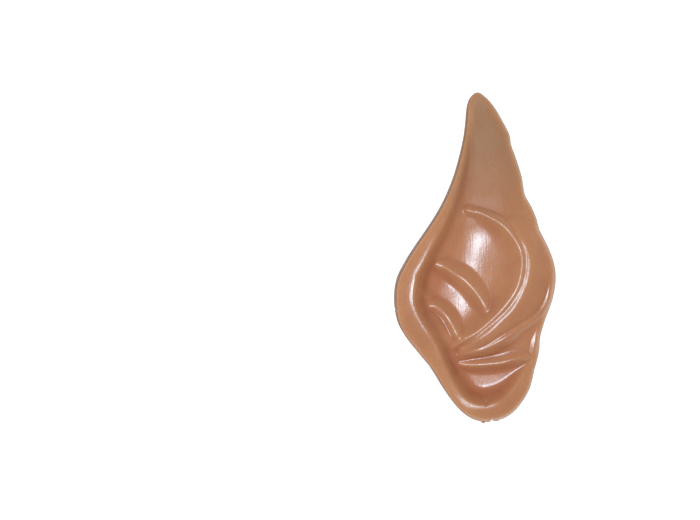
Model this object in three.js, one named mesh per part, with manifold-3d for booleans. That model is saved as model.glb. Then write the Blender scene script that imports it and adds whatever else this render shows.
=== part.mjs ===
// Elf ear tip: one hollow ear of soft flesh-coloured vinyl, moulded in a single piece. It slips over the
// wearer's ear.
// Millimetres. The sculpted face looks up (+Z), the point lies along +Y and the wavy edge is on the +X side.
// The origin is on the table, under the middle of the ear. The tables hold shares of LENGTH, WIDTH and DEPTH:
// "along" runs from the lobe (0) to the point (1), "across" from the rolled rim's side (0) to the wavy edge (1).
import * as THREE from 'three';
import { mergeVertices } from 'three/addons/utils/BufferGeometryUtils.js';
import Module from 'manifold-3d';

const LENGTH = 123; // lobe to point
const WIDTH = 60; // across the widest part
const DEPTH = 20; // table to the top of the rolled rim
const WALL = 1.8; // vinyl over the face and round the side
const BACK = 1.8; // vinyl of the flat back
const EDGE_ROUND = 2.2; // where the face turns down into the side

const SPRUE_WIDTH = 1.6; // torn-off moulding sprue at the lobe
const SPRUE_REACH = 1.3; // how far it stands out
const SPRUE_HEIGHT = 4.6; // table to its middle
const SPRUE_ACROSS = 0.556; // share of WIDTH
const NOTCH_WIDTH = 1.6; // nick beside the sprue
const NOTCH_DEPTH = 0.9;
const NOTCH_GAP = 0.5; // sprue to notch

const VINYL = { color: 0xb57c5c, roughness: 0.35, metalness: 0 };

// The ear seen from the front, and how high its face and its right-hand hem stand.
const SECTIONS = [
  { along: 0, left: 0.562, right: 0.562, face: 0.4, hem: 0.38 },
  { along: 0.01, left: 0.48, right: 0.67, face: 0.43, hem: 0.39 },
  { along: 0.03, left: 0.418, right: 0.736, face: 0.47, hem: 0.4 },
  { along: 0.06, left: 0.36, right: 0.788, face: 0.49, hem: 0.42 },
  { along: 0.1, left: 0.302, right: 0.836, face: 0.49, hem: 0.44 },
  { along: 0.16, left: 0.226, right: 0.872, face: 0.51, hem: 0.46 },
  { along: 0.21, left: 0.143, right: 0.897, face: 0.57, hem: 0.47 },
  { along: 0.255, left: 0.07, right: 0.905, face: 0.64, hem: 0.48 },
  { along: 0.3, left: 0.021, right: 0.93, face: 0.66, hem: 0.49 },
  { along: 0.37, left: 0, right: 0.981, face: 0.68, hem: 0.49 },
  { along: 0.43, left: 0.016, right: 1, face: 0.68, hem: 0.49 },
  { along: 0.48, left: 0.065, right: 0.988, face: 0.67, hem: 0.48 },
  { along: 0.53, left: 0.129, right: 0.949, face: 0.65, hem: 0.47 },
  { along: 0.58, left: 0.2, right: 0.9, face: 0.62, hem: 0.45 },
  { along: 0.615, left: 0.247, right: 0.881, face: 0.6, hem: 0.44 },
  { along: 0.65, left: 0.289, right: 0.851, face: 0.57, hem: 0.42 },
  { along: 0.685, left: 0.325, right: 0.813, face: 0.54, hem: 0.4 },
  { along: 0.74, left: 0.37, right: 0.794, face: 0.48, hem: 0.37 },
  { along: 0.8, left: 0.407, right: 0.758, face: 0.42, hem: 0.33 },
  { along: 0.84, left: 0.426, right: 0.73, face: 0.38, hem: 0.31 },
  { along: 0.87, left: 0.438, right: 0.72, face: 0.35, hem: 0.29 },
  { along: 0.91, left: 0.448, right: 0.68, face: 0.31, hem: 0.27 },
  { along: 0.955, left: 0.457, right: 0.627, face: 0.27, hem: 0.25 },
  { along: 0.985, left: 0.478, right: 0.574, face: 0.25, hem: 0.24 },
  { along: 1, left: 0.524, right: 0.524, face: 0.24, hem: 0.24 },
];

// The hole in the back that the wearer's ear goes through. Above it the back is closed, as a pocket.
const OPENING = [
  { along: 0.045, left: 0.57, right: 0.57 },
  { along: 0.09, left: 0.43, right: 0.71 },
  { along: 0.16, left: 0.33, right: 0.77 },
  { along: 0.24, left: 0.2, right: 0.8 },
  { along: 0.33, left: 0.12, right: 0.84 },
  { along: 0.43, left: 0.13, right: 0.88 },
  { along: 0.52, left: 0.22, right: 0.84 },
  { along: 0.59, left: 0.34, right: 0.7 },
  { along: 0.62, left: 0.53, right: 0.53 },
];

// Raised folds. Each point of a path is across, along and the rise above the face. "inner" and "outer" are the flanks
// to the left and right of the way the path runs: "run" is how far a flank reaches for each millimetre of rise, and a
// higher "scoop" hollows it out more. "round" is how blunt the crest is.
const FOLDS = [
  {
    name: 'rolled rim', round: 0.025, inner: { run: 1.4, scoop: 2.3 }, outer: { run: 2.8, scoop: 0.9 },
    path: [
      [0.47, 0.97, 0.01], [0.457, 0.924, 0.04], [0.425, 0.82, 0.09], [0.372, 0.701, 0.18], [0.293, 0.597, 0.27],
      [0.238, 0.552, 0.3], [0.158, 0.478, 0.31], [0.121, 0.437, 0.32], [0.105, 0.405, 0.32],
      [0.101, 0.38, 0.32], [0.104, 0.358, 0.32], [0.14, 0.314, 0.32], [0.201, 0.27, 0.32], [0.25, 0.225, 0.3],
      [0.28, 0.195, 0.24], [0.3, 0.171, 0.12],
    ],
  },
  {
    name: 'rim of the lobe', round: 0.0383, inner: { run: 0.9, scoop: 2.6 }, outer: { run: 3, scoop: 0.9 },
    path: [
      [0.22, 0.25, 0.24], [0.25, 0.225, 0.32], [0.293, 0.171, 0.37], [0.335, 0.129, 0.35], [0.396, 0.085, 0.33],
      [0.457, 0.061, 0.32], [0.542, 0.052, 0.31], [0.627, 0.063, 0.29], [0.701, 0.088, 0.23],
      [0.767, 0.126, 0.15], [0.81, 0.159, 0.05], [0.825, 0.175, 0],
    ],
  },
  {
    name: 'antihelix, inner line', round: 0.0183, inner: { run: 2.7, scoop: 3 }, outer: { run: 1, scoop: 1.1 },
    path: [
      [0.339, 0.22, 0.04], [0.412, 0.246, 0.1], [0.493, 0.27, 0.13], [0.56, 0.297, 0.15], [0.64, 0.333, 0.17],
      [0.701, 0.369, 0.18], [0.744, 0.405, 0.19], [0.768, 0.444, 0.19], [0.777, 0.48, 0.18],
      [0.771, 0.51, 0.17], [0.75, 0.537, 0.16], [0.713, 0.564, 0.14], [0.664, 0.589, 0.12],
      [0.591, 0.612, 0.09], [0.517, 0.63, 0.06], [0.46, 0.64, 0.03], [0.42, 0.648, 0.01], [0.39, 0.655, 0],
    ],
  },
  {
    name: 'antihelix, outer line', round: 0.0367,
    inner: { run: 1, scoop: 1.2 }, outer: { run: 2.6, scoop: 1.8 },
    path: [
      [0.425, 0.217, 0.08], [0.486, 0.238, 0.13], [0.572, 0.27, 0.16], [0.645, 0.303, 0.18],
      [0.722, 0.34, 0.195], [0.772, 0.381, 0.205], [0.804, 0.417, 0.205], [0.823, 0.456, 0.205],
      [0.825, 0.492, 0.2], [0.81, 0.522, 0.18], [0.774, 0.555, 0.15], [0.732, 0.585, 0.09],
      [0.677, 0.609, 0.02],
    ],
  },
  {
    name: 'head of the antihelix', round: 0.0167,
    inner: { run: 1.6, scoop: 1.6 }, outer: { run: 1.4, scoop: 1.6 },
    path: [
      [0.415, 0.643, 0], [0.425, 0.641, 0.04], [0.45, 0.637, 0.055], [0.49, 0.63, 0.05], [0.54, 0.62, 0],
    ],
  },
  {
    name: 'upper fold of the bowl', round: 0.0217,
    inner: { run: 1.6, scoop: 1.5 }, outer: { run: 1.5, scoop: 2 },
    path: [
      [0.2, 0.478, 0.06], [0.259, 0.471, 0.1], [0.339, 0.453, 0.12], [0.419, 0.43, 0.13], [0.492, 0.391, 0.13],
      [0.541, 0.352, 0.11], [0.566, 0.322, 0.06],
    ],
  },
  {
    name: 'lower fold of the bowl', round: 0.02, inner: { run: 1.7, scoop: 1.7 }, outer: { run: 1.7, scoop: 2 },
    path: [
      [0.175, 0.34, 0.03], [0.2, 0.347, 0.07], [0.241, 0.349, 0.09], [0.278, 0.34, 0.1], [0.321, 0.319, 0.1],
      [0.351, 0.295, 0.1], [0.376, 0.268, 0.09], [0.4, 0.244, 0.06],
    ],
  },
  {
    name: 'upper wrinkle of the fan', round: 0.0167,
    inner: { run: 1.1, scoop: 1.3 }, outer: { run: 1.2, scoop: 1.3 },
    path: [
      [0.42, 0.204, 0.06], [0.494, 0.213, 0.11], [0.555, 0.222, 0.125], [0.666, 0.252, 0.135],
      [0.77, 0.288, 0.105], [0.844, 0.309, 0.075], [0.899, 0.333, 0.06], [0.936, 0.363, 0.055],
      [0.954, 0.402, 0.05], [0.96, 0.432, 0.045], [0.96, 0.486, 0.01],
    ],
  },
  {
    name: 'lower wrinkle of the fan', round: 0.02, inner: { run: 1.4, scoop: 2 }, outer: { run: 1.2, scoop: 2 },
    path: [
      [0.33, 0.185, 0], [0.38, 0.176, 0.03], [0.432, 0.171, 0.07], [0.48, 0.17, 0.1], [0.524, 0.171, 0.12],
      [0.647, 0.177, 0.12], [0.739, 0.189, 0.1], [0.82, 0.2, 0.05], [0.85, 0.205, 0],
    ],
  },
  {
    name: 'hem beside the fan', round: 0.015, inner: { run: 1.5, scoop: 1.5 }, outer: { run: 2, scoop: 1.5 },
    path: [
      [0.885, 0.282, 0], [0.878, 0.262, 0.02], [0.868, 0.24, 0.03], [0.86, 0.22, 0.03], [0.852, 0.205, 0.02],
      [0.848, 0.195, 0],
    ],
  },
];
const FOLD_BLEND = 7; // how crisply folds meet
const LEAST_RUN_RISE = 0.05; // keeps a flank from vanishing at the end of a fold
const HEM_FROM = 0.6; // share across from which the face falls to the hem

// Sunken furrows, in the same terms: the third number of a point is how far the face sinks.
const FURROWS = [
  {
    name: 'furrow inside the rim', round: 0.0167,
    inner: { run: 3.8, scoop: 1.6 }, outer: { run: 3.8, scoop: 1.6 },
    path: [
      [0.469, 0.936, 0.01], [0.463, 0.882, 0.03], [0.457, 0.822, 0.04], [0.438, 0.747, 0.05],
      [0.402, 0.672, 0.05], [0.352, 0.612, 0.04], [0.31, 0.561, 0.04], [0.254, 0.507, 0.04],
      [0.217, 0.462, 0.04], [0.187, 0.417, 0.04], [0.174, 0.372, 0.04], [0.205, 0.318, 0.04],
      [0.279, 0.258, 0.04], [0.322, 0.207, 0.04], [0.377, 0.156, 0.02],
    ],
  },
];

// Scooped hollows with a flat floor. "wide" and "long" are half sizes, "turn" is in degrees and "deep" is how far the
// face sinks.
const HOLLOWS = [
  { name: 'upper bowl', across: 0.428, along: 0.445, wide: 0.27, long: 0.2, turn: -18, deep: 0.15 },
  { name: 'lower bowl', across: 0.26, along: 0.42, wide: 0.17, long: 0.055, turn: -48, deep: 0.065 },
  { name: 'lobe', across: 0.49, along: 0.125, wide: 0.34, long: 0.09, turn: 5, deep: 0.05 },
];

// How finely the surfaces are cut into faces.
const FACE_ROWS = [
  { from: 0, to: 0.04, rows: 7 },
  { from: 0.04, to: 0.68, rows: 52 },
  { from: 0.68, to: 0.96, rows: 13 },
  { from: 0.96, to: 1, rows: 6 },
];
const FACE_COLUMNS = 54;
const HOLLOW_ROWS = [
  { from: 0, to: 0.05, rows: 5 },
  { from: 0.05, to: 0.95, rows: 26 },
  { from: 0.95, to: 1, rows: 4 },
];
const HOLLOW_COLUMNS = 20;
const EDGE_POINTS = 240; // round a closed outline
const PATH_POINTS = 48; // along a fold
const OPENING_POINTS = 56;

const wasm = await Module();
wasm.setup();

// A closed geometry as a solid that can be joined and cut.
function solid(geometry) {
  const bare = geometry.index ? geometry.toNonIndexed() : geometry.clone();
  bare.deleteAttribute('normal');
  bare.deleteAttribute('uv');
  const merged = mergeVertices(bare, 1e-4);
  const faces = [];
  for (let i = 0; i < merged.index.count; i += 3) {
    const [a, b, c] = merged.index.array.slice(i, i + 3);
    if (a !== b && b !== c && c !== a) faces.push(a, b, c);
  }
  return new wasm.Manifold(new wasm.Mesh({
    numProp: 3,
    vertProperties: merged.attributes.position.array,
    triVerts: new Uint32Array(faces),
  }));
}

function geometryOf(manifold) {
  const mesh = manifold.getMesh();
  const geometry = new THREE.BufferGeometry();
  geometry.setAttribute('position', new THREE.BufferAttribute(mesh.vertProperties, mesh.numProp));
  geometry.setIndex(new THREE.BufferAttribute(mesh.triVerts, 1));
  const flat = geometry.toNonIndexed();
  flat.computeVertexNormals();
  return flat;
}

const inMillimetres = (across, along, rise = 0) => new THREE.Vector3(across * WIDTH, along * LENGTH, rise * DEPTH);

// A closed outline through a table's left and right edges: up the left side and down the right.
function closedOutline(rows, count) {
  const up = rows.map((row) => inMillimetres(row.left, row.along));
  const down = rows.slice(1, -1).reverse().map((row) => inMillimetres(row.right, row.along));
  return new THREE.CatmullRomCurve3([...up, ...down], true).getPoints(count).slice(0, -1);
}

// The same outline moved inwards, square to itself.
function insetOutline(points, inset) {
  return points.map((point, i) => {
    const before = points[(i + points.length - 1) % points.length];
    const after = points[(i + 1) % points.length];
    const way = after.clone().sub(before).normalize();
    return new THREE.Vector3(point.x + way.y * inset, point.y - way.x * inset, 0);
  });
}

// The left and right edge of an outline at a height y, from its two sides between the lowest and the highest point.
function edgesOf(points) {
  const ys = points.map((point) => point.y);
  const lowest = ys.indexOf(Math.min(...ys));
  const turned = [...points.slice(lowest), ...points.slice(0, lowest), points[lowest]];
  const highest = turned.reduce((best, point, i) => (point.y > turned[best].y ? i : best), 0);
  const sides = [turned.slice(0, highest + 1), turned.slice(highest).reverse()];
  const acrossAt = (side, y) => {
    const i = Math.max(1, side.findIndex((point) => point.y >= y));
    const share = THREE.MathUtils.clamp((y - side[i - 1].y) / (side[i].y - side[i - 1].y || 1), 0, 1);
    return THREE.MathUtils.lerp(side[i - 1].x, side[i].x, share);
  };
  return {
    bottom: turned[0].y,
    top: turned[highest].y,
    at(y) {
      const inside = THREE.MathUtils.clamp(y, turned[0].y, turned[highest].y);
      return sides.map((side) => acrossAt(side, inside));
    },
  };
}

// The nearest point of a line of points: how far away it is, on which side, and its own z.
function nearest(points, x, y) {
  let best = { square: Infinity, side: 1, z: 0 };
  for (let i = 1; i < points.length; i += 1) {
    const a = points[i - 1];
    const b = points[i];
    const dx = b.x - a.x;
    const dy = b.y - a.y;
    const share = THREE.MathUtils.clamp(((x - a.x) * dx + (y - a.y) * dy) / (dx * dx + dy * dy), 0, 1);
    const square = (x - a.x - share * dx) ** 2 + (y - a.y - share * dy) ** 2;
    if (square < best.square) {
      const side = dx * (y - a.y) - dy * (x - a.x) >= 0 ? 1 : -1;
      best = { square, side, z: a.z + share * (b.z - a.z) };
    }
  }
  return { distance: Math.sqrt(best.square), side: best.side, z: best.z };
}

// A column of SECTIONS at any share along, on a smooth curve through its rows.
function column(name, along) {
  const last = SECTIONS.length - 1;
  const above = SECTIONS.findIndex((row) => row.along > along);
  const i = above < 0 ? last : Math.max(above, 1);
  const slope = (k) => {
    const a = SECTIONS[Math.max(k - 1, 0)];
    const b = SECTIONS[Math.min(k + 1, last)];
    return (b[name] - a[name]) / (b.along - a.along);
  };
  const span = SECTIONS[i].along - SECTIONS[i - 1].along;
  const t = THREE.MathUtils.clamp((along - SECTIONS[i - 1].along) / span, 0, 1);
  return (
    SECTIONS[i - 1][name] * (1 - t) ** 2 * (1 + 2 * t) +
    slope(i - 1) * span * t * (1 - t) ** 2 +
    SECTIONS[i][name] * t ** 2 * (3 - 2 * t) -
    slope(i) * span * t ** 2 * (1 - t)
  );
}

const outline = closedOutline(SECTIONS, EDGE_POINTS);
const edges = edgesOf(outline);
const withPoints = (fold) => ({
  ...fold,
  points: new THREE.CatmullRomCurve3(fold.path.map((point) => inMillimetres(...point))).getPoints(PATH_POINTS),
});
const folds = FOLDS.map(withPoints);
const furrows = FURROWS.map(withPoints);

// How far a fold lifts the face, or a furrow sinks it, at a point.
function foldRise(fold, x, y) {
  const { distance, side, z } = nearest(fold.points, x, y);
  const { run, scoop } = side > 0 ? fold.inner : fold.outer;
  const round = fold.round * WIDTH;
  const away = (Math.hypot(distance, round) - round) / (run * Math.max(z, LEAST_RUN_RISE));
  return away < 1 ? Math.max(z, 0) * (1 - away) ** scoop : 0;
}

function hollowDepth(hollow, x, y) {
  const turn = THREE.MathUtils.degToRad(hollow.turn);
  const dx = x - hollow.across * WIDTH;
  const dy = y - hollow.along * LENGTH;
  const u = (dx * Math.cos(turn) + dy * Math.sin(turn)) / (hollow.wide * WIDTH);
  const v = (dy * Math.cos(turn) - dx * Math.sin(turn)) / (hollow.long * LENGTH);
  const away = u ** 2 + v ** 4;
  return away < 1 ? hollow.deep * DEPTH * (1 - away) ** 2 : 0;
}

// How high the outside of the ear stands at a point inside its outline.
function faceHeight(x, y) {
  const along = y / LENGTH;
  const [left, right] = edges.at(y);
  const across = (x - left) / Math.max(right - left, 1e-6);
  const face = column('face', along);
  const hem = column('hem', along);
  const towardsHem = THREE.MathUtils.clamp((across - HEM_FROM) / (1 - HEM_FROM), 0, 1) ** 2;
  const base = THREE.MathUtils.lerp(face, hem, towardsHem) * DEPTH;
  const rise = folds.reduce((sum, fold) => sum + foldRise(fold, x, y) ** FOLD_BLEND, 0) ** (1 / FOLD_BLEND);
  const furrow = furrows.reduce((sum, fold) => sum + foldRise(fold, x, y), 0);
  const sink = HOLLOWS.reduce((sum, hollow) => sum + hollowDepth(hollow, x, y), furrow);
  const inside = Math.min(nearest([...outline, outline[0]], x, y).distance, EDGE_ROUND);
  const rounding = EDGE_ROUND - Math.sqrt(EDGE_ROUND ** 2 - (EDGE_ROUND - inside) ** 2);
  return base + rise - sink - rounding;
}

// How high the inside stands: the outside, less a wall that is measured square to it.
function hollowHeight(x, y) {
  const heights = [faceHeight(x, y) - WALL];
  for (const share of [0.6, 0.95]) {
    for (let turn = 0; turn < 8; turn += 1) {
      const angle = (turn * Math.PI) / 4;
      const reach = share * WALL;
      const below = Math.sqrt(WALL ** 2 - reach ** 2);
      heights.push(faceHeight(x + reach * Math.cos(angle), y + reach * Math.sin(angle)) - below);
    }
  }
  return Math.min(...heights);
}

// Shares from 0 to 1 for the rows of a surface, closer together towards both ends.
function rowShares(spans) {
  const shares = [0];
  for (const { from, to, rows } of spans) {
    for (let i = 1; i <= rows; i += 1) {
      let step = i / rows;
      if (from === 0) step **= 2;
      if (to === 1) step = 1 - (1 - step) ** 2;
      shares.push(from + (to - from) * step);
    }
  }
  return shares;
}

const columnShare = (step) => 0.5 * step + 0.25 * (1 - Math.cos(step * Math.PI));

// A solid with an outline, a flat floor and a top that follows a height.
function underSurface(points, spans, columns, floor, heightAt) {
  const sides = edgesOf(points);
  const grid = rowShares(spans).map((share) => {
    const y = THREE.MathUtils.lerp(sides.bottom, sides.top, share);
    const [left, right] = sides.at(y);
    return Array.from({ length: columns + 1 }, (_, j) => {
      const x = THREE.MathUtils.lerp(left, right, columnShare(j / columns));
      return [x, y, heightAt(x, y)];
    });
  });
  const corners = [];
  const quad = (a, b, c, d) => corners.push(...a, ...b, ...c, ...a, ...c, ...d);
  const foot = ([x, y]) => [x, y, floor];
  for (let i = 1; i < grid.length; i += 1) {
    const [low, high] = [grid[i - 1], grid[i]];
    for (let j = 1; j <= columns; j += 1) quad(low[j - 1], low[j], high[j], high[j - 1]);
    quad(low[columns], foot(low[columns]), foot(high[columns]), high[columns]);
    quad(low[0], high[0], foot(high[0]), foot(low[0]));
    quad(foot(low[0]), foot(high[0]), foot(high[columns]), foot(low[columns]));
  }
  const geometry = new THREE.BufferGeometry();
  geometry.setAttribute('position', new THREE.Float32BufferAttribute(corners, 3));
  return solid(geometry);
}

// An upright prism over an outline.
function prism(points, from, to) {
  const shape = new THREE.Shape(points.map((point) => new THREE.Vector2(point.x, point.y)));
  const geometry = new THREE.ExtrudeGeometry(shape, { depth: to - from, bevelEnabled: false });
  return solid(geometry.translate(0, 0, from));
}

function moulding() {
  return underSurface(outline, FACE_ROWS, FACE_COLUMNS, 0, faceHeight);
}

function earHollow() {
  return underSurface(insetOutline(outline, WALL), HOLLOW_ROWS, HOLLOW_COLUMNS, BACK, hollowHeight);
}

function backOpening() {
  return prism(closedOutline(OPENING, OPENING_POINTS).reverse(), -BACK, 2 * BACK);
}

// The stub that stays where the vinyl was torn off its sprue, half sunk into the lobe's side.
function sprueStub() {
  const half = SPRUE_WIDTH / 2;
  const stub = new THREE.SphereGeometry(1, 10, 8).scale(half, SPRUE_REACH, half);
  return solid(stub.translate(SPRUE_ACROSS * WIDTH, edges.bottom, SPRUE_HEIGHT));
}

function sprueNotch() {
  const from = SPRUE_ACROSS * WIDTH + SPRUE_WIDTH / 2 + NOTCH_GAP;
  const corner = (x, y) => new THREE.Vector3(x, edges.bottom + y, 0);
  const wedge = [
    corner(from, -NOTCH_DEPTH),
    corner(from + NOTCH_WIDTH, -NOTCH_DEPTH),
    corner(from + NOTCH_WIDTH / 2, NOTCH_DEPTH),
  ];
  return prism(wedge, -1, DEPTH);
}

function earShell() {
  const body = moulding().add(sprueStub()).subtract(sprueNotch());
  const mesh = new THREE.Mesh(
    geometryOf(body.subtract(earHollow()).subtract(backOpening())),
    new THREE.MeshStandardMaterial(VINYL),
  );
  mesh.name = 'ear_shell';
  const box = new THREE.Box3().setFromObject(mesh);
  mesh.position.set(-(box.min.x + box.max.x) / 2, -(box.min.y + box.max.y) / 2, 0);
  return mesh;
}

const ear = new THREE.Group();
ear.add(earShell());

export default ear;
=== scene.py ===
"""Elf ear tip: one hollow ear of soft flesh-coloured vinyl, lying face up on a light table."""

import math

import bmesh
import bpy
import numpy as np
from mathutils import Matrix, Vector
from mathutils.geometry import tessellate_polygon


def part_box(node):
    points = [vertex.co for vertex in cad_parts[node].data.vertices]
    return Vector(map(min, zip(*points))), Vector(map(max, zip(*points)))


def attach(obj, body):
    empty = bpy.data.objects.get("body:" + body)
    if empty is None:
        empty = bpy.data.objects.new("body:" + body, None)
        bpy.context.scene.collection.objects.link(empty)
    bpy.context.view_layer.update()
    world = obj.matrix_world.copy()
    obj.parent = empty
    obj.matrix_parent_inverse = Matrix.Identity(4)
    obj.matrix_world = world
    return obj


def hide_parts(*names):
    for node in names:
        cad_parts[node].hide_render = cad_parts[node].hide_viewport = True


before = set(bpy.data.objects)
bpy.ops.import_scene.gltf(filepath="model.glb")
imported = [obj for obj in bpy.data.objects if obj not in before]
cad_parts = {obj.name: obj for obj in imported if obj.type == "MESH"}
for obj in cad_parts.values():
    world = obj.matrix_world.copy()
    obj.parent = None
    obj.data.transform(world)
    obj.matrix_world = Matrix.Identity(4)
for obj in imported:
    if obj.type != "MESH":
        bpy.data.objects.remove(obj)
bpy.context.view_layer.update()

# Ear shell
# One hollow moulding of soft flesh-coloured PVC, 1.8 mm thick, slush moulded in a polished mould.
# The sculpted face is glossy, and the flat back has one large hole for the wearer's own ear.
# It is a single piece with nothing fixed to it, and it lies on that flat back.
MM = .001
low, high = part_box("ear_shell")

# Sizes in mm. The stub of the sprue reaches past the lobe, so it isn't part of the length.
SPRUE_REACH = 1.3
WIDTH = (high.x - low.x) / MM
LENGTH = (high.y - low.y) / MM - SPRUE_REACH
DEPTH = 20
WALL = 1.8
BACK = 1.8
EDGE_ROUND = 2.2
BACK_ROUND = .7
LIP_ROUND = .5

# The outline and the height of the face at its left side and at its right edge, the hem. They are
# shares of LENGTH, WIDTH, WIDTH, DEPTH and DEPTH.
SECTION_COLUMNS = ("along", "left", "right", "face", "hem")
SECTIONS = np.array([
    (0, .562, .562, .4, .38),
    (.01, .48, .67, .43, .39),
    (.03, .418, .736, .47, .4),
    (.06, .36, .788, .49, .42),
    (.1, .302, .836, .49, .44),
    (.16, .226, .872, .51, .46),
    (.21, .143, .897, .57, .47),
    (.255, .07, .905, .64, .48),
    (.3, .021, .93, .66, .49),
    (.37, 0, .981, .68, .49),
    (.43, .016, 1, .68, .49),
    (.48, .065, .988, .67, .48),
    (.53, .129, .949, .65, .47),
    (.58, .2, .9, .62, .45),
    (.615, .247, .881, .6, .44),
    (.65, .289, .851, .57, .42),
    (.685, .325, .813, .54, .4),
    (.74, .37, .794, .48, .37),
    (.8, .407, .758, .42, .33),
    (.84, .426, .73, .38, .31),
    (.87, .438, .72, .35, .29),
    (.91, .448, .68, .31, .27),
    (.955, .457, .627, .27, .25),
    (.985, .478, .574, .25, .24),
    (1, .524, .524, .24, .24),
])

# The hole in the back: along, left and right.
OPENING = np.array([
    (.045, .57, .57),
    (.09, .43, .71),
    (.16, .33, .77),
    (.24, .2, .8),
    (.33, .12, .84),
    (.43, .13, .88),
    (.52, .22, .84),
    (.59, .34, .7),
    (.62, .53, .53),
])

# Raised folds. A flank is how far it reaches for each millimetre of rise, and how much it is hollowed
# out. "round" is how blunt the crest is, and each point of a path is across, along and the rise.
FOLDS = [
    # Rolled rim
    {
        "round": .025, "inner": (1.4, 2.3), "outer": (2.8, .9),
        "path": [(.47, .97, .01), (.457, .924, .04), (.425, .82, .09), (.372, .701, .18),
                 (.293, .597, .27), (.238, .552, .3), (.158, .478, .31), (.121, .437, .32),
                 (.105, .405, .32), (.101, .38, .32), (.104, .358, .32), (.14, .314, .32),
                 (.201, .27, .32), (.25, .225, .3), (.28, .195, .24), (.3, .171, .12)],
    },
    # Rim of the lobe
    {
        "round": .038, "inner": (.9, 2.6), "outer": (3, .9),
        "path": [(.22, .25, .24), (.25, .225, .32), (.293, .171, .37), (.335, .129, .35),
                 (.396, .085, .33), (.457, .061, .32), (.542, .052, .31), (.627, .063, .29),
                 (.701, .088, .23), (.767, .126, .15), (.81, .159, .05), (.825, .175, 0)],
    },
    # Antihelix, inner line
    {
        "round": .018, "inner": (2.7, 3), "outer": (1, 1.1),
        "path": [(.339, .22, .04), (.412, .246, .1), (.493, .27, .13), (.56, .297, .15),
                 (.64, .333, .17), (.701, .369, .18), (.744, .405, .19), (.768, .444, .19),
                 (.777, .48, .18), (.771, .51, .17), (.75, .537, .16), (.713, .564, .14),
                 (.664, .589, .12), (.591, .612, .09), (.517, .63, .06), (.46, .64, .03),
                 (.42, .648, .01), (.39, .655, 0)],
    },
    # Antihelix, outer line
    {
        "round": .037, "inner": (1, 1.2), "outer": (2.6, 1.8),
        "path": [(.425, .217, .08), (.486, .238, .13), (.572, .27, .16), (.645, .303, .18),
                 (.722, .34, .195), (.772, .381, .205), (.804, .417, .205), (.823, .456, .205),
                 (.825, .492, .2), (.81, .522, .18), (.774, .555, .15), (.732, .585, .09),
                 (.677, .609, .02)],
    },
    # Head of the antihelix
    {
        "round": .017, "inner": (1.6, 1.6), "outer": (1.4, 1.6),
        "path": [(.415, .643, 0), (.425, .641, .04), (.45, .637, .055), (.49, .63, .05),
                 (.54, .62, 0)],
    },
    # Upper fold of the bowl
    {
        "round": .022, "inner": (1.6, 1.5), "outer": (1.5, 2),
        "path": [(.2, .478, .06), (.259, .471, .1), (.339, .453, .12), (.419, .43, .13),
                 (.492, .391, .13), (.541, .352, .11), (.566, .322, .06)],
    },
    # Lower fold of the bowl
    {
        "round": .02, "inner": (1.7, 1.7), "outer": (1.7, 2),
        "path": [(.175, .34, .03), (.2, .347, .07), (.241, .349, .09), (.278, .34, .1),
                 (.321, .319, .1), (.351, .295, .1), (.376, .268, .09), (.4, .244, .06)],
    },
    # Upper wrinkle of the fan
    {
        "round": .017, "inner": (1.1, 1.3), "outer": (1.2, 1.3),
        "path": [(.42, .204, .06), (.494, .213, .11), (.555, .222, .125), (.666, .252, .135),
                 (.77, .288, .105), (.844, .309, .075), (.899, .333, .06), (.936, .363, .055),
                 (.954, .402, .05), (.96, .432, .045), (.96, .486, .01)],
    },
    # Lower wrinkle of the fan
    {
        "round": .02, "inner": (1.4, 2), "outer": (1.2, 2),
        "path": [(.33, .185, 0), (.38, .176, .03), (.432, .171, .07), (.48, .17, .1),
                 (.524, .171, .12), (.647, .177, .12), (.739, .189, .1), (.82, .2, .05),
                 (.85, .205, 0)],
    },
    # Hem beside the fan
    {
        "round": .015, "inner": (1.5, 1.5), "outer": (2, 1.5),
        "path": [(.885, .282, 0), (.878, .262, .02), (.868, .24, .03), (.86, .22, .03),
                 (.852, .205, .02), (.848, .195, 0)],
    },
]
# How sharply neighbouring folds meet, the least rise in mm that a flank is measured by, and how far
# across the face starts to bend towards the hem.
FOLD_BLEND = 7
LEAST_RISE = .05
HEM_FROM = .6

# A sunken furrow, in the same terms.
FURROWS = [
    # Furrow inside the rim
    {
        "round": .017, "inner": (3.8, 1.6), "outer": (3.8, 1.6),
        "path": [(.469, .936, .01), (.463, .882, .03), (.457, .822, .04), (.438, .747, .05),
                 (.402, .672, .05), (.352, .612, .04), (.31, .561, .04), (.254, .507, .04),
                 (.217, .462, .04), (.187, .417, .04), (.174, .372, .04), (.205, .318, .04),
                 (.279, .258, .04), (.322, .207, .04), (.377, .156, .02)],
    },
]

# Scooped hollows: across, along, half sizes across and along, turn in degrees and how deep.
HOLLOWS = [
    (.428, .445, .27, .2, -18, .15),
    (.26, .42, .17, .055, -48, .065),
    (.49, .125, .34, .09, 5, .05),
]

# Small dimples that the vents of the mould leave: across, along, radius in mm and depth in mm.
MARKS = [
    (.556, .06, .6, 1),
    (.822, .176, .4, .12),
]

# Nicks and bumps of the trimmed edge: across, along, half width in mm, depth in mm and the way in.
# They die out over NICK_REACH mm.
NICK_REACH = 1.2
NICKS = [
    (.598, 0, .8, .9, (0, 1)),
    (.633, .005, .6, -.3, (0, 1)),
    (0, .337, .5, .35, (1, 0)),
]

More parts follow.
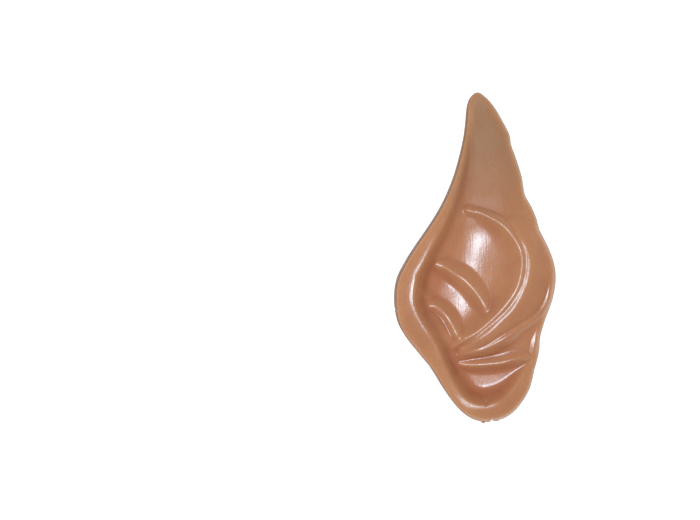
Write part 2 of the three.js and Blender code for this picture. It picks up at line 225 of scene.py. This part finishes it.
# How finely the face and the inside are cut. Rows are given as from, to and how many.
FACE_ROWS = ((0, .04, 40), (.04, .68, 250), (.68, .96, 60), (.96, 1, 20))
FACE_COLUMNS = 200
HOLLOW_ROWS = ((0, .05, 10), (.05, .95, 100), (.95, 1, 8))
HOLLOW_COLUMNS = 44
SIDE_ROWS = 8
HOLLOW_SIDE_ROWS = 4
EDGE_POINTS = 480
HOLE_POINTS = 160
PATH_POINTS = 60
BACK_ROUND_ANGLES = (22.5, 45, 67.5, 90)
LIP_ANGLES = (0, 30, 60, 90)

# The inside keeps clear of the outside by a ball of the wall's thickness, tried at its middle and at
# points on these shares of its radius, all the way round. Points nearer than MERGE mm become one.
BALL_SHARES = (.6, .95)
BALL_WAYS = 8
MERGE = .002
LEAST_EDGE = .001


def curve(points, count, closed=False):
    """A centripetal curve through the points."""
    points = np.asarray(points, float)
    n = len(points)
    spans = n if closed else n - 1
    out = []
    for t in np.linspace(0, spans, count + 1):
        i = min(int(t), spans - 1)
        w = t - i
        p1, p2 = points[i], points[(i + 1) % n]
        p0 = points[i - 1] if closed or i > 0 else 2 * p1 - p2
        p3 = points[(i + 2) % n] if closed or i + 2 < n else 2 * p2 - p1
        pairs = ((p0, p1), (p1, p2), (p2, p3))
        d0, d1, d2 = (max(np.sum((b - a) ** 2) ** .25, 1e-4) for a, b in pairs)
        t1 = ((p1 - p0) / d0 - (p2 - p0) / (d0 + d1) + (p2 - p1) / d1) * d1
        t2 = ((p2 - p1) / d1 - (p3 - p1) / (d1 + d2) + (p3 - p2) / d2) * d1
        out.append(p1 + t1 * w + (3 * (p2 - p1) - 2 * t1 - t2) * w**2
                   + (2 * (p1 - p2) + t1 + t2) * w**3)
    return np.array(out)


def outline_of(rows, count):
    """A closed outline in mm, up the left side of a table and down its right side."""
    up = [(row[1] * WIDTH, row[0] * LENGTH) for row in rows]
    down = [(row[2] * WIDTH, row[0] * LENGTH) for row in rows[-2:0:-1]]
    return curve(up + down, count, closed=True)[:-1]


def offset(line, out):
    """A closed line of points moved outwards, square to itself."""
    way = np.roll(line, -1, axis=0) - np.roll(line, 1, axis=0)
    way /= np.linalg.norm(way, axis=1, keepdims=True)
    return line + out * np.column_stack([-way[:, 1], way[:, 0]])


def edges_at(line, y):
    """The left and right edge of a closed line at each y."""
    turned = np.roll(line, -np.argmin(line[:, 1]), axis=0)
    top = np.argmax(turned[:, 1])
    left, right = turned[:top + 1], np.vstack([turned[top:], turned[:1]])[::-1]
    y = np.clip(y, turned[0, 1], turned[top, 1])
    return [np.interp(y, np.maximum.accumulate(side[:, 1]), side[:, 0])
            for side in (left, right)]


def nearest(line, x, y):
    """How far the nearest point of an open line is, on which side, and its height."""
    best = np.full(x.shape, np.inf)
    side, z = np.ones(x.shape), np.zeros(x.shape)
    for a, b in zip(line[:-1], line[1:]):
        dx, dy = b[0] - a[0], b[1] - a[1]
        share = np.clip(((x - a[0]) * dx + (y - a[1]) * dy) / (dx * dx + dy * dy), 0, 1)
        square = (x - a[0] - share * dx) ** 2 + (y - a[1] - share * dy) ** 2
        near = square < best
        best = np.where(near, square, best)
        side = np.where(near, np.where(dx * (y - a[1]) >= dy * (x - a[0]), 1, -1), side)
        z = np.where(near, a[2] + share * (b[2] - a[2]), z)
    return np.sqrt(best), side, z


def column(name, along):
    """A column of SECTIONS at any share along, on a smooth curve through its rows."""
    keys, values = SECTIONS[:, 0], SECTIONS[:, SECTION_COLUMNS.index(name)]
    last = len(keys) - 1
    i = np.clip(np.searchsorted(keys, along, side="right"), 1, last)
    numbers = np.arange(last + 1)
    before, after = np.maximum(numbers - 1, 0), np.minimum(numbers + 1, last)
    slope = (values[after] - values[before]) / (keys[after] - keys[before])
    span = keys[i] - keys[i - 1]
    t = np.clip((along - keys[i - 1]) / span, 0, 1)
    return (values[i - 1] * (1 - t) ** 2 * (1 + 2 * t) + slope[i - 1] * span * t * (1 - t) ** 2
            + values[i] * t**2 * (3 - 2 * t) - slope[i] * span * t**2 * (1 - t))


outline = outline_of(SECTIONS, EDGE_POINTS)
rim_line = np.column_stack([np.vstack([outline, outline[:1]]), np.zeros(EDGE_POINTS + 1)])
for fold in FOLDS + FURROWS:
    fold["line"] = curve(np.array(fold["path"]) * (WIDTH, LENGTH, DEPTH), PATH_POINTS)


def fold_rise(fold, x, y):
    """How far a fold lifts the face, or a furrow sinks it."""
    distance, side, z = nearest(fold["line"], x, y)
    run, scoop = (np.where(side > 0, a, b) for a, b in zip(fold["inner"], fold["outer"]))
    blunt = fold["round"] * WIDTH
    away = (np.hypot(distance, blunt) - blunt) / (run * np.maximum(z, LEAST_RISE))
    return np.maximum(z, 0) * np.clip(1 - away, 0, 1) ** scoop


def face_height(x, y):
    """How high the outside of the ear stands at points inside its outline, in mm."""
    along = y / LENGTH
    left, right = edges_at(outline, y)
    across = (x - left) / np.maximum(right - left, 1e-6)
    face, hem = column("face", along), column("hem", along)
    height = (face + (hem - face) * np.clip((across - HEM_FROM) / (1 - HEM_FROM), 0, 1) ** 2) * DEPTH
    height += sum(fold_rise(fold, x, y) ** FOLD_BLEND for fold in FOLDS) ** (1 / FOLD_BLEND)
    height -= sum(fold_rise(fold, x, y) for fold in FURROWS)
    for middle, up, wide, long, turn, deep in HOLLOWS:
        angle = math.radians(turn)
        dx, dy = x - middle * WIDTH, y - up * LENGTH
        u = (dx * math.cos(angle) + dy * math.sin(angle)) / (wide * WIDTH)
        v = (dy * math.cos(angle) - dx * math.sin(angle)) / (long * LENGTH)
        height -= deep * DEPTH * np.clip(1 - u**2 - v**4, 0, 1) ** 2
    inside = np.minimum(nearest(rim_line, x, y)[0], EDGE_ROUND)
    return height - EDGE_ROUND + np.sqrt(EDGE_ROUND**2 - (EDGE_ROUND - inside) ** 2)


def marks_depth(x, y):
    """How deep the vent marks of the mould are, which are far smaller than any fold."""
    depth = 0
    for across, along, radius, deep in MARKS:
        square = (x - across * WIDTH) ** 2 + (y - along * LENGTH) ** 2
        depth = depth + deep * np.exp(-square / radius**2)
    return depth


def hollow_height(x, y):
    """How high the inside stands: the outside, less a wall that is measured square to it."""
    heights = [face_height(x, y) - WALL]
    for reach in (share * WALL for share in BALL_SHARES):
        below = math.sqrt(WALL**2 - reach**2)
        for angle in np.arange(BALL_WAYS) * 2 * math.pi / BALL_WAYS:
            beside = face_height(x + reach * math.cos(angle), y + reach * math.sin(angle))
            heights.append(beside - below)
    return np.min(heights, axis=0)


def grid_inside(line, spans, columns):
    """Rows of points that fill a closed line, closer together at its ends and sides."""
    shares = [0.0]
    for start, end, rows in spans:
        step = np.arange(1, rows + 1) / rows
        if start == 0:
            step = step**2
        if end == 1:
            step = 1 - (1 - step) ** 2
        shares.extend(start + (end - start) * step)
    y = line[:, 1].min() + np.ptp(line[:, 1]) * np.array(shares)
    left, right = edges_at(line, y)
    step = np.arange(columns + 1) / columns
    spread = (step + (1 - np.cos(step * math.pi)) / 2) / 2
    x = left[:, None] + (right - left)[:, None] * spread
    return x, np.repeat(y[:, None], columns + 1, axis=1)


shell_points, shell_faces = [], []


def add_points(x, y, z):
    """Adds points and gives their numbers, in the same rows."""
    x, y, z = np.broadcast_arrays(x, y, z)
    first = len(shell_points)
    shell_points.extend(np.column_stack([x.ravel(), y.ravel(), z.ravel()]))
    return np.arange(first, first + x.size).reshape(x.shape)


def add_surface(rows):
    """Faces between neighbouring rows of points."""
    for a, b in zip(rows[:-1], rows[1:]):
        shell_faces.extend(zip(a[:-1], a[1:], b[1:], b[:-1]))


def border(rows):
    """The numbers round a filled grid, up its left side and down its right."""
    return np.concatenate([rows[:, 0], rows[-2:0:-1, -1]])


def add_band(rings):
    """Faces between closed rings of as many points each."""
    add_surface([np.append(ring, ring[0]) for ring in rings])


def add_flat(outer, inner):
    """Faces of a flat ring between two closed lines of points."""
    numbers = np.concatenate([outer, inner])
    loops = [[Vector((*shell_points[i][:2], 0)) for i in ring] for ring in (outer, inner)]
    shell_faces.extend(tuple(numbers[i] for i in face) for face in tessellate_polygon(loops))


def side_rows(line, z, rows):
    """Rings of points from a line in space straight up or down to a height, without the first."""
    return [add_points(*line[:, :2].T, line[:, 2] + (z - line[:, 2]) * share)
            for share in np.linspace(0, 1, rows + 1)[1:]]


# The outside: the sculpted face, the side below it and the rounded edge of the back.
x, y = grid_inside(outline, FACE_ROWS, FACE_COLUMNS)
face_grid = add_points(x, y, face_height(x, y) - marks_depth(x, y))
add_surface(face_grid)
edge = border(face_grid)
edge_points = np.array([shell_points[i] for i in edge])
side_rings = [edge] + side_rows(edge_points, BACK_ROUND, SIDE_ROWS)
for angle in np.radians(BACK_ROUND_ANGLES):
    drawn_in = offset(edge_points[:, :2], -BACK_ROUND * (1 - math.cos(angle)))
    side_rings.append(add_points(*drawn_in.T, BACK_ROUND * (1 - math.sin(angle))))
add_band(side_rings)

shell_array = np.array(shell_points)
for across, along, half, deep, way in NICKS:
    from_middle = shell_array[:, :2] - (across * WIDTH, along * LENGTH)
    inwards, beside = from_middle @ way, np.abs(from_middle @ way[::-1])
    amount = deep * np.clip(1 - beside / half, 0, 1) * np.exp(-np.abs(inwards) / NICK_REACH)
    shell_array[:, :2] += amount[:, None] * way
shell_points = list(shell_array)

# The hole in the back, with a slightly rounded lip.
hole = outline_of(OPENING, HOLE_POINTS)
lip_rings = []
for start, way, angles in ((0, 1, LIP_ANGLES[::-1]), (BACK, -1, LIP_ANGLES)):
    for angle in np.radians(angles):
        line = offset(hole, LIP_ROUND * (1 - math.cos(angle)))
        lip_rings.append(add_points(*line.T, start + way * LIP_ROUND * (1 - math.sin(angle))))
add_band(lip_rings)
add_flat(side_rings[-1], lip_rings[0])

# The inside, which follows the outside at the wall's thickness.
x, y = grid_inside(offset(outline, -WALL), HOLLOW_ROWS, HOLLOW_COLUMNS)
hollow_grid = add_points(x, y, hollow_height(x, y))
add_surface(hollow_grid)
inner_edge = border(hollow_grid)
inner_points = np.array([shell_points[i] for i in inner_edge])
inner_rings = [inner_edge] + side_rows(inner_points, BACK, HOLLOW_SIDE_ROWS)
add_band(inner_rings)
add_flat(inner_rings[-1], lip_rings[-1])

# The left side and the point of the outline, in mm here and in metres in the frame.
outline_corner = np.array((outline[:, 0].min(), outline[:, 1].max(), 0))
frame_corner = np.array((low.x, high.y, 0))


def show(mesh, smooth=True):
    """An object of the mesh, under the same name."""
    for polygon in mesh.polygons:
        polygon.use_smooth = smooth
    thing = bpy.data.objects.new(mesh.name, mesh)
    bpy.context.collection.objects.link(thing)
    return thing


shell_mesh = bpy.data.meshes.new("ear_skin")
placed = (np.array(shell_points) - outline_corner) * MM + frame_corner
shell_mesh.from_pydata(placed.tolist(), [], [tuple(int(i) for i in face) for face in shell_faces])
work = bmesh.new()
work.from_mesh(shell_mesh)
bmesh.ops.remove_doubles(work, verts=work.verts, dist=MERGE * MM)
bmesh.ops.dissolve_degenerate(work, edges=work.edges, dist=LEAST_EDGE * MM)
bmesh.ops.recalc_face_normals(work, faces=work.faces)
work.to_mesh(shell_mesh)
work.free()
ear_skin = show(shell_mesh)

# How deep each point lies below the surface round it, for the painted shade in the creases and the
# bowls: the name, how wide the surface round it is and the depth that counts as full, in mm. RASTER
# is the size of a cell in mm, and BELL is how many radii of a bell curve count.
SUNKEN = (("crease", 1.2, .8), ("bowl", 5, 2.5))
EDGE_BAND = 4
RASTER = .5
BELL = 3
raster_x, raster_y = np.meshgrid(np.arange(0, WIDTH, RASTER), np.arange(0, LENGTH, RASTER))
left, right = edges_at(outline, raster_y)
raster = face_height(np.clip(raster_x, left, right), raster_y)


def blurred(image, radius):
    """The image spread out by a bell curve of that radius in mm."""
    reach = int(BELL * radius / RASTER)
    bell = np.exp(-.5 * (np.arange(-reach, reach + 1) * RASTER / radius) ** 2)
    bell /= bell.sum()
    for axis in (0, 1):
        pad = [(reach, reach) if axis == a else (0, 0) for a in (0, 1)]
        image = np.apply_along_axis(np.convolve, axis, np.pad(image, pad, mode="edge"), bell, "valid")
    return image


def at_points(image, x, y):
    """Values of a raster at points in mm, between its cells."""
    u = np.clip(x / RASTER, 0, image.shape[1] - 1.001)
    v = np.clip(y / RASTER, 0, image.shape[0] - 1.001)
    i, j = u.astype(int), v.astype(int)
    u, v = u - i, v - j
    return ((image[j, i] * (1 - u) + image[j, i + 1] * u) * (1 - v)
            + (image[j + 1, i] * (1 - u) + image[j + 1, i + 1] * u) * v)


def add_attribute(mesh, name, values):
    """A number from 0 to 1 at each point of a mesh, for its material."""
    mesh.attributes.new(name, "FLOAT", "POINT").data.foreach_set("value", np.clip(values, 0, 1))


coordinates = np.empty(len(shell_mesh.vertices) * 3)
shell_mesh.vertices.foreach_get("co", coordinates)
unplaced = (coordinates.reshape(-1, 3) - frame_corner) / MM + outline_corner
x, y = unplaced[:, 0], unplaced[:, 1]
for name, radius, deepest in SUNKEN:
    add_attribute(shell_mesh, name, at_points(blurred(raster, radius) - raster, x, y) / deepest)
add_attribute(shell_mesh, "from_edge", nearest(rim_line, x, y)[0] / EDGE_BAND)


def linear(code):
    """An sRGB hex colour as linear RGBA."""
    parts = [int(code[i:i + 2], 16) / 255 for i in (1, 3, 5)]
    return (*(p / 12.92 if p <= .04045 else ((p + .055) / 1.055) ** 2.4 for p in parts), 1)


def add_node(tree, kind, inputs=None, **settings):
    """One node with its settings, and its inputs as values or as links from other sockets."""
    node = tree.nodes.new("ShaderNode" + kind)
    for name, value in settings.items():
        setattr(node, name, value)
    for socket, value in (inputs or {}).items():
        if isinstance(value, bpy.types.NodeSocket):
            tree.links.new(value, node.inputs[socket])
        else:
            node.inputs[socket].default_value = value
    return node


def new_material(name):
    """A material without nodes, and its tree."""
    material = bpy.data.materials.new(name)
    material.use_nodes = True
    material.node_tree.nodes.clear()
    return material, material.node_tree


# Flesh PVC, slush moulded: soft, slightly translucent plastic whose glossy skin copies the mould's
# polish, with faint lengthwise polishing lines, a slight orange peel and a fine grain. Painted shade
# makes the colour a little darker and redder in the creases and the bowls and greyer towards the
# point, and painted light, for the bright table's glow in the thin rim, makes it more orange along
# the rim. The steep side is matt, and painted shade makes it darker, so that it shows as a dark edge
# from the front.
SKIN = "#b7774f"
SKIN_BLOTCH = "#b06f4a"
# Painted shade in the creases.
SKIN_CREASE_SHADE = "#924124"
# Painted shade in the bowls.
SKIN_BOWL_SHADE = "#b9714e"
# Painted shade, darker and greyer towards the point.
SKIN_BLADE_SHADE = "#a06d4a"
# Painted light along the thin rim, for the bright table's glow in it.
SKIN_EDGE_LIGHT = "#c88657"
# Painted shade on the steep side.
SKIN_SIDE_SHADE = "#7d4a28"
# How strongly the painted shade of the bowls and the creases and the painted light on the rim show.
BOWL_SHADE_SHARE = .6
CREASE_SHADE_SHARE = .75
EDGE_LIGHT_SHARE = .6
# Where the colour turns to the blade's painted shade: metres along the ear, from the frame's origin.
BLADE_FROM, BLADE_TO = .005, .045
# Where the rim's painted light and the side's painted shade lie, as shares of EDGE_BAND from the
# outline.
RIM_FROM, RIM_TO = .75, .1
SIDE_FROM, SIDE_TO = .14, .03
# Sizes in mm of the blotches, the polishing lines, the orange peel, the grain and the smears. The
# real lines and grain are finer than this, and are drawn coarse enough to show.
BLOTCH_SIZE = 14
BLOTCH_FROM, BLOTCH_TO = .4, .65
LINE_WIDTH, LINE_LENGTH = .6, 9
PEEL_SIZE = 1.6
GRAIN_SIZE = .5
SMEAR_SIZE = 9
SMEAR_FROM, SMEAR_TO = .35, .7
# Depths in mm of the lines, the peel and the grain.
LINE_DEPTH = .05
PEEL_DEPTH = .03
GRAIN_DEPTH = .03
# Roughness of the polished face, where it is clean and where it is smeared, and of the side.
CLEAN_ROUGHNESS, SMEARED_ROUGHNESS = .25, .33
SIDE_ROUGHNESS = .65
# How light enters the vinyl: refraction, the share that does, and how far it goes in mm.
VINYL_IOR = 1.52
TRANSLUCENT = .25
LIGHT_REACH = 1.1
REACH_BY_COLOUR = (1, .42, .22)

vinyl, tree = new_material("flesh_pvc_slush_moulded")
place = add_node(tree, "TexCoord").outputs["Object"]
millimetres = add_node(tree, "VectorMath", {0: place, 3: 1 / MM}, operation="SCALE").outputs[0]
line_scale = (1 / LINE_WIDTH, 1 / LINE_LENGTH, 1 / LINE_WIDTH)
stretched = add_node(tree, "Mapping", {0: millimetres, 3: line_scale}).outputs[0]
pattern = {}
for name, vector, size, detail in (("blotches", millimetres, BLOTCH_SIZE, 3),
                                   ("lines", stretched, 1, 2),
                                   ("peel", millimetres, PEEL_SIZE, 2),
                                   ("grain", millimetres, GRAIN_SIZE, 2),
                                   ("smears", millimetres, SMEAR_SIZE, 4)):
    inputs = {"Vector": vector, "Scale": 1 / size, "Detail": detail}
    pattern[name] = add_node(tree, "TexNoise", inputs).outputs["Fac"]

blotch_inputs = {0: pattern["blotches"], 1: BLOTCH_FROM, 2: BLOTCH_TO}
blotch_share = add_node(tree, "MapRange", blotch_inputs).outputs[0]
# Painted shade: the bowls and the creases turn darker and redder the deeper they lie.
bowl = add_node(tree, "Attribute", attribute_name="bowl").outputs["Fac"]
bowl_shade_share = add_node(tree, "Math", {0: bowl, 1: BOWL_SHADE_SHARE}, operation="MULTIPLY").outputs[0]
# Painted shade: the colour darkens and greys towards the point.
blade_inputs = {0: add_node(tree, "SeparateXYZ", {0: place}).outputs["Y"], 1: BLADE_FROM, 2: BLADE_TO}
blade_ramp = add_node(tree, "MapRange", blade_inputs, interpolation_type="SMOOTHSTEP")
blade_shade_share = blade_ramp.outputs[0]
crease = add_node(tree, "Attribute", attribute_name="crease").outputs["Fac"]
crease_shade_share = add_node(tree, "Math", {0: crease, 1: CREASE_SHADE_SHARE}, operation="MULTIPLY").outputs[0]
from_edge = add_node(tree, "Attribute", attribute_name="from_edge").outputs["Fac"]
# Painted light along the rim.
edge_light_inputs = {0: from_edge, 1: RIM_FROM, 2: RIM_TO, 4: EDGE_LIGHT_SHARE}
edge_light_share = add_node(tree, "MapRange", edge_light_inputs).outputs[0]
# Painted shade on the steep side, which is also matt.
side_share = add_node(tree, "MapRange", {0: from_edge, 1: SIDE_FROM, 2: SIDE_TO}).outputs[0]
colour = linear(SKIN)
for share, code in ((blotch_share, SKIN_BLOTCH), (bowl_shade_share, SKIN_BOWL_SHADE),
                    (blade_shade_share, SKIN_BLADE_SHADE), (crease_shade_share, SKIN_CREASE_SHADE),
                    (edge_light_share, SKIN_EDGE_LIGHT), (side_share, SKIN_SIDE_SHADE)):
    inputs = {0: share, 6: colour, 7: linear(code)}
    colour = add_node(tree, "Mix", inputs, data_type="RGBA").outputs[2]

bump = {}
for name, deep in (("lines", LINE_DEPTH), ("peel", PEEL_DEPTH), ("grain", GRAIN_DEPTH)):
    inputs = {"Height": pattern[name], "Distance": deep * MM, "Strength": 1, **bump}
    bump = {"Normal": add_node(tree, "Bump", inputs).outputs[0]}

gloss = add_node(tree, "MapRange", {
    0: pattern["smears"], 1: SMEAR_FROM, 2: SMEAR_TO, 3: CLEAN_ROUGHNESS, 4: SMEARED_ROUGHNESS,
}).outputs[0]
gloss = add_node(tree, "MapRange", {0: side_share, 3: gloss, 4: SIDE_ROUGHNESS}).outputs[0]
vinyl_shader = add_node(tree, "BsdfPrincipled", {
    "Base Color": colour, "Roughness": gloss, "IOR": VINYL_IOR, "Subsurface Weight": TRANSLUCENT,
    "Subsurface Radius": REACH_BY_COLOUR, "Subsurface Scale": LIGHT_REACH * MM, **bump,
})
add_node(tree, "OutputMaterial", {"Surface": vinyl_shader.outputs[0]})
shell_mesh.materials.append(vinyl)
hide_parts("ear_shell")
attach(ear_skin, "root")

# Sprue stub
# The short stub of the same PVC that stays at the lobe where the moulding was torn off its sprue.
# It is part of the moulding, half sunk into the lobe's side, and its end is rough from the tear.
SPRUE_WIDTH = 1.6
SPRUE_HEIGHT = 4.6
SPRUE_ACROSS = .556
# The waves of the torn end: how deep they are, as a share of the reach, how many radians of them half
# the stub's width and height hold, and where they start.
TEAR_DEPTH = .07
TEAR_ACROSS, TEAR_UP = 9, 11
TEAR_START = 2
# The stub is a hair lower than it is wide.
SPRUE_FLAT = .99
# It counts as half EDGE_BAND from the outline, so a little of the rim's painted light shows on it,
# and none of the side's painted shade.
SPRUE_FROM_EDGE = .5

stub_mesh = bpy.data.meshes.new("sprue_stub")
work = bmesh.new()
bmesh.ops.create_icosphere(work, subdivisions=4, radius=1)
middle = Vector((low.x + SPRUE_ACROSS * WIDTH * MM, high.y - LENGTH * MM, SPRUE_HEIGHT * MM))
half = SPRUE_WIDTH / 2 * MM
for vertex in work.verts:
    way = vertex.co.normalized()
    waves = math.sin(TEAR_ACROSS * way.x + TEAR_START) * math.sin(TEAR_UP * way.z)
    reach = SPRUE_REACH * MM * min(1 + TEAR_DEPTH * waves * max(0, -way.y), 1)
    vertex.co = middle + Vector((way.x * half, way.y * reach, way.z * half * SPRUE_FLAT))
work.to_mesh(stub_mesh)
work.free()
sprue_stub = show(stub_mesh)
add_attribute(stub_mesh, "from_edge", np.full(len(stub_mesh.vertices), SPRUE_FROM_EDGE))
stub_mesh.materials.append(vinyl)
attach(sprue_stub, "root")

# Light table
# A sheet of white opal acrylic, larger than the view on every side, that the ear lies on. It is lit
# from below, so that hardly any shadow shows on it, and its surface is matt and faintly uneven.
TABLE_SIZE = 3
# It lies a hair below the ear's flat back, so that the two don't share one plane.
TABLE_DROP = .00005
TABLE_WHITE = "#fff5ea"
TABLE_GLOW = .35
TABLE_ROUGHNESS = (.6, .75)
# How many lumps of the uneven surface go into a metre.
TABLE_LUMPS = 40

table_mesh = bpy.data.meshes.new("light_table")
half = TABLE_SIZE / 2
corners = [(x * half, y * half, -TABLE_DROP) for x, y in ((-1, -1), (1, -1), (1, 1), (-1, 1))]
table_mesh.from_pydata(corners, [], [(0, 1, 2, 3)])
table = show(table_mesh, smooth=False)
# Opal acrylic: matt, warm white and glowing evenly.
acrylic, tree = new_material("opal_acrylic_lit_from_below")
place = add_node(tree, "TexCoord").outputs["Object"]
uneven_inputs = {"Vector": place, "Scale": TABLE_LUMPS, "Detail": 3}
uneven = add_node(tree, "TexNoise", uneven_inputs).outputs["Fac"]
matt_inputs = {0: uneven, 3: TABLE_ROUGHNESS[0], 4: TABLE_ROUGHNESS[1]}
matt = add_node(tree, "MapRange", matt_inputs).outputs[0]
acrylic_shader = add_node(tree, "BsdfPrincipled", {
    "Base Color": linear(TABLE_WHITE), "Roughness": matt,
    "Emission Color": linear(TABLE_WHITE), "Emission Strength": TABLE_GLOW,
})
add_node(tree, "OutputMaterial", {"Surface": acrylic_shader.outputs[0]})
table_mesh.materials.append(acrylic)

# Light
# An evenly bright, pale room, and one round soft box just behind the lens that gives the folds their
# long soft highlights. The box is cooler than the room, as the photo's highlights show.
CAMERA_AT = Vector((-.0466, -.0009, .5))
ROOM_LIGHT = .36
BOX_BEHIND = .1
BOX_SIZE = .2
BOX_WATTS = 3.3
BOX_COLOUR = (.78, 1, 1.18)

world = bpy.data.worlds.new("pale_room")
world.use_nodes = True
world.node_tree.nodes["Background"].inputs["Color"].default_value = (1, 1, 1, 1)
world.node_tree.nodes["Background"].inputs["Strength"].default_value = ROOM_LIGHT
bpy.context.scene.world = world

box_light = bpy.data.lights.new("soft_box_at_the_lens", "AREA")
box_light.shape, box_light.size = "DISK", BOX_SIZE
box_light.energy, box_light.color = BOX_WATTS, BOX_COLOUR
soft_box = bpy.data.objects.new("soft_box_at_the_lens", box_light)
soft_box.location = CAMERA_AT + Vector((0, 0, BOX_BEHIND))
soft_box.rotation_euler = (-soft_box.location).to_track_quat("-Z", "Y").to_euler()
bpy.context.collection.objects.link(soft_box)

# Camera
# A compact camera that looks straight down from half a metre over the table, with the ear right of
# the middle of its view.
LENS = 68
SENSOR = 36
NEAREST = .01

camera_data = bpy.data.cameras.new("camera")
camera_data.lens = LENS
camera_data.sensor_width = SENSOR
camera_data.clip_start = NEAREST
camera = bpy.data.objects.new("camera", camera_data)
camera.location = CAMERA_AT
bpy.context.collection.objects.link(camera)
bpy.context.scene.camera = camera
bpy.context.scene.view_settings.view_transform = "Standard"
